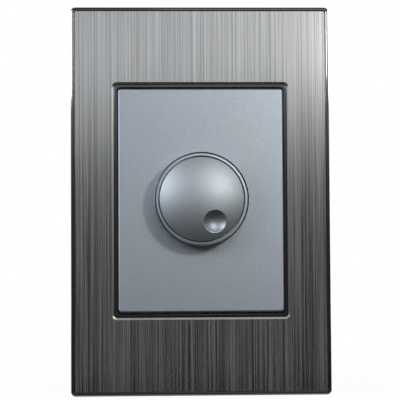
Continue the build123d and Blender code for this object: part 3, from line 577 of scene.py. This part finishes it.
# plain metals: plated and mottled, or drawn with lines along the stock
zincSteel = {
    "colour": (0.62, 0.62, 0.60),
    "grainSize": 0.0004,
    "cloudSize": 0.003,
    "contrast": 0.1,
    "roughness": (0.24, 0.4),
    "edge": (0.0002, 0.15),
    "sockets": {"Metallic": 1.0},
}
brass = {
    **zincSteel,
    "colour": (0.70, 0.53, 0.25),
    "cloudSize": 0.004,
    "roughness": (0.2, 0.36),
}
enamelledWire = {
    "colour": (0.60, 0.27, 0.11),
    "grainSize": 0.0003,
    "cloudSize": 0.004,
    "contrast": 0.12,
    "roughness": (0.18, 0.3),
    "sockets": {"Metallic": 1.0, "Coat Weight": 0.6, "Coat Tint": (1.0, 0.75, 0.55, 1.0)},
}
sinkAluminium = {
    "colour": (0.75, 0.76, 0.77),
    "lineSize": (0.0003, 0.0003, 0.02),
    "contrast": 0.07,
    "roughness": (0.28, 0.42),
    "sockets": {"Metallic": 1.0, "Anisotropic": 0.4},
}


def makeDrawnMetal(name, settings):
    material, tree, shader = startMaterial(name, settings["sockets"])
    lines = addLines(tree, settings)
    shadeColour(tree, shader, settings["colour"], lines.outputs["Shade"])
    spread(tree, lines.outputs["Height"], shader.inputs["Roughness"], settings["roughness"])
    return material


zincMaterial = makeMoulding("zincSteel", zincSteel)
wireMaterial = makeMoulding("enamelledWire", enamelledWire)
dress(zincMaterial, "box_screws", "heat_sink_screws", "triac_screw", "terminal_screws")
dress(zincMaterial, "pot_bushing", "pot_washer", "pot_nut", "pot_case")
dress(makeMoulding("brass", brass), "pot_legs", "pot_wiper", "switch_legs", "terminal_clamps")
dress(wireMaterial, "choke_winding")
dress(makeDrawnMetal("sinkAluminium", sinkAluminium), "heat_sink", "pot_shaft")


# parts whose body, bands and tinned ends follow one another along an axis: position, colour, metal
tin = (0.68, 0.67, 0.64)
bandBlack = (0.02, 0.02, 0.02)
resistorTan = (0.72, 0.58, 0.38)
diacBlue = (0.08, 0.22, 0.52)
smallParts = {
    "triac": {
        "axis": "Z",
        "bands": [(0.0, tin, 1), (0.155, (0.022, 0.022, 0.022), 0), (0.657, tin, 1)],
    },
    "suppression_capacitor": {
        "axis": "Y",
        "bands": [(0.0, (0.75, 0.58, 0.10), 0), (0.77, tin, 1)],
    },
    "timing_capacitor": {
        "axis": "Y",
        "bands": [(0.0, (0.50, 0.10, 0.06), 0), (0.69, tin, 1)],
    },
    "resistors": {
        "axis": "Z",
        "bands": [
            (0.0, tin, 1),
            (0.176, resistorTan, 0),
            (0.26, (0.16, 0.06, 0.02), 0),
            (0.32, resistorTan, 0),
            (0.40, bandBlack, 0),
            (0.46, resistorTan, 0),
            (0.54, (0.80, 0.32, 0.02), 0),
            (0.60, resistorTan, 0),
            (0.70, (0.55, 0.40, 0.12), 0),
            (0.76, resistorTan, 0),
            (0.824, tin, 1),
        ],
    },
    "diac": {
        "axis": "Z",
        "bands": [
            (0.0, tin, 1),
            (0.228, diacBlue, 0),
            (0.46, bandBlack, 0),
            (0.54, diacBlue, 0),
            (0.772, tin, 1),
        ],
    },
}
smallPartLook = {
    "grainSize": 0.0002,
    "cloudSize": 0.004,
    "contrast": 0.1,
    "roughness": (0.25, 0.4),
    "sockets": {"IOR": 1.52},
}


def makeBanded(name, settings):
    material, tree, shader = startMaterial(name + "Look", smallPartLook["sockets"])
    low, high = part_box(name)
    axis = "XYZ".index(settings["axis"])
    place = addNode(tree, "ShaderNodeTexCoord")
    split = addNode(tree, "ShaderNodeSeparateXYZ")
    ends = {"From Min": low[axis], "From Max": high[axis]}
    along = addNode(tree, "ShaderNodeMapRange", ends)
    ramp = addNode(tree, "ShaderNodeValToRGB")
    ramp.color_ramp.interpolation = "CONSTANT"
    setStops(ramp, [(start, (*colour, metal)) for start, colour, metal in settings["bands"]])
    grain = addGrain(tree, smallPartLook)
    join(
        tree,
        (place.outputs["Object"], split.inputs[0]),
        (split.outputs[axis], along.inputs["Value"]),
        (along.outputs[0], ramp.inputs[0]),
        (ramp.outputs["Alpha"], shader.inputs["Metallic"]),
    )
    shadeColour(tree, shader, ramp.outputs["Color"], grain.outputs["Shade"])
    spread(tree, grain.outputs["Cloud"], shader.inputs["Roughness"], smallPartLook["roughness"])
    return material


for partName, partSettings in smallParts.items():
    dress(makeBanded(partName, partSettings), partName)


# circuit board: copper tracks that show through green lacquer
boardLook = {
    "colour": (0.035, 0.20, 0.085),
    "track": (0.07, 0.33, 0.13),
    "trackSize": 0.006,
    "trackGap": 0.05,
    "trackOffset": 0.37,
    "trackSquash": 1.7,
    "grainSize": 0.0003,
    "cloudSize": 0.006,
    "contrast": 0.1,
    "roughness": (0.3, 0.45),
    "bump": (0.00003, 0.8),
    "sockets": {"IOR": 1.55},
}


def makeBoard(settings):
    material, tree, shader = startMaterial("circuitBoard", settings["sockets"])
    place = addNode(tree, "ShaderNodeTexCoord")
    flat = addNode(tree, "ShaderNodeMapping", {"Rotation": (radians(90), 0, 0)})
    sizes = {"Scale": 1 / settings["trackSize"], "Mortar Size": settings["trackGap"]}
    tracks = addNode(tree, "ShaderNodeTexBrick", sizes)
    tracks.offset, tracks.squash = settings["trackOffset"], settings["trackSquash"]
    paint = addNode(tree, "ShaderNodeMix", data_type="RGBA")
    paint.inputs["A"].default_value = (*settings["colour"], 1)
    paint.inputs["B"].default_value = (*settings["track"], 1)
    grain = addGrain(tree, settings)
    join(
        tree,
        (place.outputs["Object"], flat.inputs[0]),
        (flat.outputs[0], tracks.inputs["Vector"]),
        (tracks.outputs["Fac"], paint.inputs[0]),
    )
    shadeColour(tree, shader, paint.outputs["Result"], grain.outputs["Shade"])
    spread(tree, grain.outputs["Cloud"], shader.inputs["Roughness"], settings["roughness"])
    bumpFrom(tree, shader, tracks.outputs["Fac"], *settings["bump"])
    return material


dress(makeBoard(boardLook), "circuit_board")
print("inside dressed")


def addPiece(name, mesh, material, replaced):
    mesh.materials.append(material)
    piece = bpy.data.objects.new(name, mesh)
    scene.collection.objects.link(piece)
    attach(piece, "root")
    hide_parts(replaced)
    return piece


# closed rings of points joined into a tube with both ends capped
def addTube(shape, rings):
    for first, second in zip(rings, rings[1:]):
        for step in range(len(first)):
            after = (step + 1) % len(first)
            shape.faces.new((first[step], first[after], second[after], second[step]))
    shape.faces.new(rings[0])
    shape.faces.new(reversed(rings[-1]))


def circleAngles(sides):
    return [2 * pi * step / sides for step in range(sides)]


# box screws: the CAD's sizes and slots, with a real thread
boxScrew = {
    "head": 0.0034,
    "headHeight": 0.0022,
    "headRound": 0.0005,
    "roundTurns": (0, 22, 45, 68, 90),
    "neck": 0.0015,
    "neckEnd": 0.0006,
    "root": 0.00146,
    "crest": 0.00175,
    "pitch": 0.0006,
    "sides": 28,
    "slotWidth": 0.0009,
    "slotDepth": 0.0008,
    "threadStart": 0.0012,
    "threadSink": 0.97,
    "threadFoot": 0.46,
    "threadFlat": 0.06,
    "tip": 0.0007,
    "tipTaper": 0.6,
    "sharp": 35.0,
}


def addLathe(shape, centre, profile, sides):
    rings = []
    for radius, y in profile:
        spots = [Vector((radius * cos(a), y, radius * sin(a))) for a in circleAngles(sides)]
        rings.append([shape.verts.new(centre + spot) for spot in spots])
    addTube(shape, rings)


# the thread's feet are sunk a little into the root, and it fades in and out over one turn
def addThread(shape, centre, settings, end):
    start, pitch, sides = settings["threadStart"], settings["pitch"], settings["sides"]
    root, crest = settings["root"], settings["crest"]
    sunk = root * settings["threadSink"]
    foot, flat = settings["threadFoot"] * pitch, settings["threadFlat"] * pitch
    steps = int((end - start) / pitch * sides)
    rows = []
    for step in range(steps + 1):
        angle = 2 * pi * step / sides
        y = start + pitch * step / sides
        rise = min(1.0, step / sides, (steps - step) / sides)
        outer = root + (crest - root) * rise
        section = [(sunk, -foot), (outer, -flat), (outer, flat), (sunk, foot)]
        spots = [Vector((r * cos(angle), y + dy, r * sin(angle))) for r, dy in section]
        rows.append([shape.verts.new(centre + spot) for spot in spots])
    addTube(shape, rows)


def cutSlots(piece, centres, headTop, settings):
    shape = bmesh.new()
    length, depth = 3 * settings["head"], 2 * settings["slotDepth"]
    size = Matrix.Diagonal((length, depth, settings["slotWidth"], 1))
    for centre in centres:
        place = Matrix.Translation(centre + Vector((0, headTop, 0)))
        bmesh.ops.create_cube(shape, size=1.0, matrix=place @ size)
    mesh = bpy.data.meshes.new("slotCutter")
    shape.to_mesh(mesh)
    shape.free()
    cutter = bpy.data.objects.new("slotCutter", mesh)
    scene.collection.objects.link(cutter)
    cut = piece.modifiers.new("slots", "BOOLEAN")
    cut.object, cut.solver = cutter, "EXACT"
    slotted = piece.evaluated_get(bpy.context.evaluated_depsgraph_get())
    cutMesh = bpy.data.meshes.new_from_object(slotted)
    piece.modifiers.clear()
    piece.data = cutMesh
    bpy.data.objects.remove(cutter)


def makeScrewProfile(settings, headTop, end):
    head, headRound = settings["head"], settings["headRound"]
    neck, root, tip = settings["neck"], settings["root"], settings["tip"]
    seat = headTop + settings["headHeight"]
    rounding = []
    for turn in settings["roundTurns"]:
        radius = head - headRound * (1 - sin(radians(turn)))
        rounding.append((radius, headTop + headRound * (1 - cos(radians(turn)))))
    return rounding + [
        (head, seat),
        (neck, seat),
        (neck, 0.0),
        (root, settings["neckEnd"]),
        (root, end - tip),
        (root - tip * settings["tipTaper"], end),
    ]


def makeBoxScrews(settings):
    low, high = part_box("box_screws")
    headTop, end = low.y, high.y
    offset = high.z - settings["head"]
    centres = [Vector((0, 0, side * offset)) for side in (-1, 1)]
    profile = makeScrewProfile(settings, headTop, end)
    shape = bmesh.new()
    for centre in centres:
        addLathe(shape, centre, profile, settings["sides"])
    bmesh.ops.recalc_face_normals(shape, faces=shape.faces)
    mesh = bpy.data.meshes.new("boxScrews")
    shape.to_mesh(mesh)
    piece = addPiece("boxScrews", mesh, zincMaterial, "box_screws")
    cutSlots(piece, centres, headTop, settings)
    shape.clear()
    shape.from_mesh(piece.data)
    for centre in centres:
        addThread(shape, centre, settings, end - settings["tip"])
    bmesh.ops.recalc_face_normals(shape, faces=shape.faces)
    shape.to_mesh(piece.data)
    shape.free()
    piece.data.shade_smooth()
    piece.data.set_sharp_from_angle(angle=radians(settings["sharp"]))


makeBoxScrews(boxScrew)
print("box screws threaded")


# choke: turns of enamelled wire round the core, where the CAD has one sleeve
chokeWire = {
    "turns": 24,
    "arc": 300.0,
    "radius": 0.00035,
    "bore": 0.0037,
    "gap": 0.00005,
    "squareness": 6.0,
    "steps": 32,
    "sides": 8,
}


def addWire(shape, points, radius, sides):
    across = None
    rings = []
    befores, afters = [points[0]] + points[:-1], points[1:] + [points[-1]]
    for before, point, after in zip(befores, points, afters):
        along = (after - before).normalized()
        if across is None:
            across = along.orthogonal()
        across = (across - along * across.dot(along)).normalized()
        up = along.cross(across)
        spokes = [cos(angle) * across + sin(angle) * up for angle in circleAngles(sides)]
        rings.append([shape.verts.new(point + radius * spoke) for spoke in spokes])
    addTube(shape, rings)


def makeChokeWinding(settings):
    coreLow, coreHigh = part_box("choke_core")
    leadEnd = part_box("choke_winding")[1].y
    centre = (coreLow + coreHigh) / 2
    outer = (coreHigh.x - coreLow.x) / 2
    reach = settings["gap"] + settings["radius"]
    middle = (outer + settings["bore"]) / 2
    halfWidth = (outer - settings["bore"]) / 2 + reach
    halfHeight = (coreHigh.y - coreLow.y) / 2 + reach
    power = 2 / settings["squareness"]
    count = settings["turns"] * settings["steps"]
    points = []
    for step in range(count + 1):
        turn = 2 * pi * step / settings["steps"]
        swing = radians(settings["arc"]) * step / count
        out = middle + halfWidth * copysign(abs(cos(turn)) ** power, cos(turn))
        rise = halfHeight * copysign(abs(sin(turn)) ** power, sin(turn))
        points.append(centre + Vector((out * cos(swing), rise, -out * sin(swing))))
    shape = bmesh.new()
    addWire(shape, points, settings["radius"], settings["sides"])
    for side in (-1, 1):
        leadX = centre.x + side * (outer + 2 * reach) / 2
        ends = [Vector((leadX, y, centre.z)) for y in (centre.y + halfHeight, leadEnd)]
        addWire(shape, ends, settings["radius"], settings["sides"])
    bmesh.ops.recalc_face_normals(shape, faces=shape.faces)
    mesh = bpy.data.meshes.new("chokeTurns")
    shape.to_mesh(mesh)
    shape.free()
    mesh.shade_smooth()
    addPiece("chokeTurns", mesh, wireMaterial, "choke_winding")


makeChokeWinding(chokeWire)
print("choke wound")


# plain stage: white world, pale floor and soft boxes
stageLook = {
    "worldLevel": 0.72,
    "floorDrop": 0.0003,
    "floorRadius": 4.0,
    "floorSides": 96,
    "floorColour": (0.82, 0.82, 0.82, 1.0),
    "floorRoughness": 0.8,
    "floorWhite": 0.95,
    "fade": (0.06, 0.3),
}
softBoxes = {
    "keyBox": {
        "azimuth": 24,
        "elevation": 16,
        "distance": 0.4,
        "size": (0.05, 0.05),
        "radiance": 36,
        "colour": (1.0, 0.94, 0.85),
    },
    "topBox": {
        "azimuth": 13,
        "elevation": 30,
        "distance": 0.6,
        "size": (0.26, 0.26),
        "radiance": 1.3,
    },
    "leftBox": {
        "azimuth": -53,
        "elevation": 19,
        "distance": 0.6,
        "size": (0.5, 0.2),
        "radiance": 4.2,
    },
    "leftStrip": {
        "azimuth": -116,
        "elevation": 17,
        "distance": 1.1,
        "size": (0.8, 0.34),
        "radiance": 16.0,
    },
    "rightStrip": {
        "azimuth": 116,
        "elevation": 17,
        "distance": 1.1,
        "size": (0.8, 0.34),
        "radiance": 8.0,
    },
}
edgeLights = ("leftStrip", "rightStrip")  # these show in the gloss alone
floorHeight = cadLow.z - stageLook["floorDrop"]


def seenRays(tree):
    path = addNode(tree, "ShaderNodeLightPath")
    shown = addMaths(tree, "MAXIMUM", path.outputs["Is Camera Ray"], path.outputs["Is Glossy Ray"])
    return addMaths(tree, "MAXIMUM", shown, path.outputs["Is Transmission Ray"])


def makeWorld(settings):
    world = bpy.data.worlds.new("studio")
    scene.world = world
    world.use_nodes = True
    tree = world.node_tree
    lighting = tree.nodes["Background"]
    lighting.inputs["Color"].default_value = (1, 1, 1, 1)
    lighting.inputs["Strength"].default_value = settings["worldLevel"]
    white = addNode(tree, "ShaderNodeBackground", {"Color": (1, 1, 1, 1), "Strength": 1.0})
    mix = addNode(tree, "ShaderNodeMixShader")
    join(
        tree,
        (seenRays(tree), mix.inputs[0]),
        (lighting.outputs[0], mix.inputs[1]),
        (white.outputs[0], mix.inputs[2]),
        (mix.outputs[0], tree.nodes["World Output"].inputs["Surface"]),
    )


def makeFloorMaterial(settings):
    sockets = {"Base Color": settings["floorColour"], "Roughness": settings["floorRoughness"]}
    material, tree, shader = startMaterial("paleFloor", sockets)
    material.cycles.emission_sampling = "NONE"  # its glow is for what sees it, and lights nothing
    place = addNode(tree, "ShaderNodeTexCoord")
    away = addNode(tree, "ShaderNodeVectorMath", operation="LENGTH")
    near, far = settings["fade"]
    fade = addNode(
        tree,
        "ShaderNodeMapRange",
        {"From Min": near, "From Max": far, "To Min": settings["floorWhite"], "To Max": 1.0},
    )
    white = addNode(tree, "ShaderNodeEmission", {"Strength": 1.0})
    mix = addNode(tree, "ShaderNodeMixShader")
    join(
        tree,
        (place.outputs["Object"], away.inputs[0]),
        (away.outputs["Value"], fade.inputs["Value"]),
        (addMaths(tree, "MULTIPLY", seenRays(tree), fade.outputs[0]), mix.inputs[0]),
        (shader.outputs[0], mix.inputs[1]),
        (white.outputs[0], mix.inputs[2]),
        (mix.outputs[0], tree.nodes["Material Output"].inputs["Surface"]),
    )
    return material


def addStage(name, points, faces, material):
    mesh = bpy.data.meshes.new(name)
    mesh.from_pydata(points, [], faces)
    mesh.materials.append(material)
    obj = bpy.data.objects.new(name, mesh)
    scene.collection.objects.link(obj)
    return obj


def ringPoints(radius, height, start, end, count):
    angles = [radians(start + (end - start) * step / count) for step in range(count + 1)]
    return [(radius * sin(angle), -radius * cos(angle), height) for angle in angles]


def addFloor(settings):
    rim = ringPoints(settings["floorRadius"], floorHeight, 0, 360, settings["floorSides"])[:-1]
    addStage("floor", rim, [tuple(reversed(range(len(rim))))], makeFloorMaterial(settings))


# what the front mirrors, by elevation from the plate's middle: dark low down and pale above
# its floor cards leave a gap for the part: half width, front and back
surroundLook = {
    "radius": 1.6,
    "span": 130.0,
    "columns": 64,
    "rows": 24,
    "cardLift": 0.0004,
    "clear": (0.042, -0.0095, 0.4),
    "levels": {
        -90: (0.006, 0.006, 0.005),
        -45: (0.009, 0.008, 0.007),
        -20: (0.038, 0.035, 0.028),
        -6: (0.037, 0.034, 0.027),
        -1: (0.054, 0.051, 0.045),
        1.5: (0.084, 0.083, 0.079),
        4: (0.14, 0.14, 0.14),
        6.5: (0.48, 0.48, 0.48),
        10: (0.84, 0.84, 0.84),
        20: (0.23, 0.23, 0.23),
        40: (0.20, 0.20, 0.20),
        70: (0.08, 0.08, 0.08),
    },
}


def makeSurroundMaterial(settings):
    material = bpy.data.materials.new("surround")
    material.use_nodes = True
    material.cycles.emission_sampling = "NONE"
    tree = material.node_tree
    tree.nodes.remove(tree.nodes["Principled BSDF"])
    place = addNode(tree, "ShaderNodeTexCoord")
    aim = addNode(tree, "ShaderNodeVectorMath", operation="NORMALIZE")
    split = addNode(tree, "ShaderNodeSeparateXYZ")
    ramp = addNode(tree, "ShaderNodeValToRGB")
    glow = addNode(tree, "ShaderNodeEmission")
    levels = settings["levels"].items()
    setStops(ramp, [(elevation / 180 + 0.5, (*colour, 1)) for elevation, colour in levels])
    rise = addMaths(tree, "DIVIDE", addMaths(tree, "ARCSINE", split.outputs["Z"]), pi)
    join(
        tree,
        (place.outputs["Object"], aim.inputs[0]),
        (aim.outputs[0], split.inputs[0]),
        (addMaths(tree, "ADD", rise, 0.5), ramp.inputs[0]),
        (ramp.outputs["Color"], glow.inputs["Color"]),
        (glow.outputs[0], tree.nodes["Material Output"].inputs["Surface"]),
    )
    return material


def addSurround(settings):
    radius, span = settings["radius"], settings["span"]
    side, front, back = settings["clear"]
    columns, rows = settings["columns"], settings["rows"]
    lowest = asin(floorHeight / radius)
    points = []
    for row in range(rows + 1):
        rise = lowest + (pi / 2 - lowest) * row / rows
        points += ringPoints(radius * cos(rise), radius * sin(rise), -span, span, columns)
    faces = []
    for row in range(rows):
        for step in range(columns):
            first = row * (columns + 1) + step
            faces.append((first, first + 1, first + columns + 2, first + columns + 1))
    height = floorHeight + settings["cardLift"]
    cards = (
        (-radius, -radius, radius, front),
        (-radius, front, -side, back),
        (side, front, radius, back),
    )
    for left, near, right, far in cards:
        start = len(points)
        points += [(left, near, height), (right, near, height)]
        points += [(right, far, height), (left, far, height)]
        faces.append((start, start + 1, start + 2, start + 3))
    surround = addStage("surround", points, faces, makeSurroundMaterial(settings))
    surround.visible_camera = False
    surround.visible_diffuse = False
    surround.visible_shadow = False


def addSoftBox(name, settings):
    azimuth, elevation = radians(settings["azimuth"]), radians(settings["elevation"])
    width, height = settings["size"]
    flat = cos(elevation)
    away = Vector((sin(azimuth) * flat, -cos(azimuth) * flat, sin(elevation)))
    data = bpy.data.lights.new(name, "AREA")
    data.shape = "RECTANGLE"
    data.size, data.size_y = width, height
    data.energy = settings["radiance"] * pi * width * height
    data.color = settings.get("colour", (1, 1, 1))
    box = bpy.data.objects.new(name, data)
    scene.collection.objects.link(box)
    box.location = away * settings["distance"]
    box.rotation_euler = (-away).to_track_quat("-Z", "Y").to_euler()
    box.visible_camera = False
    box.visible_diffuse = name not in edgeLights


makeWorld(stageLook)
addFloor(stageLook)
addSurround(surroundLook)
for boxName, boxSettings in softBoxes.items():
    addSoftBox(boxName, boxSettings)
print("stage lit with", len(softBoxes), "soft boxes")
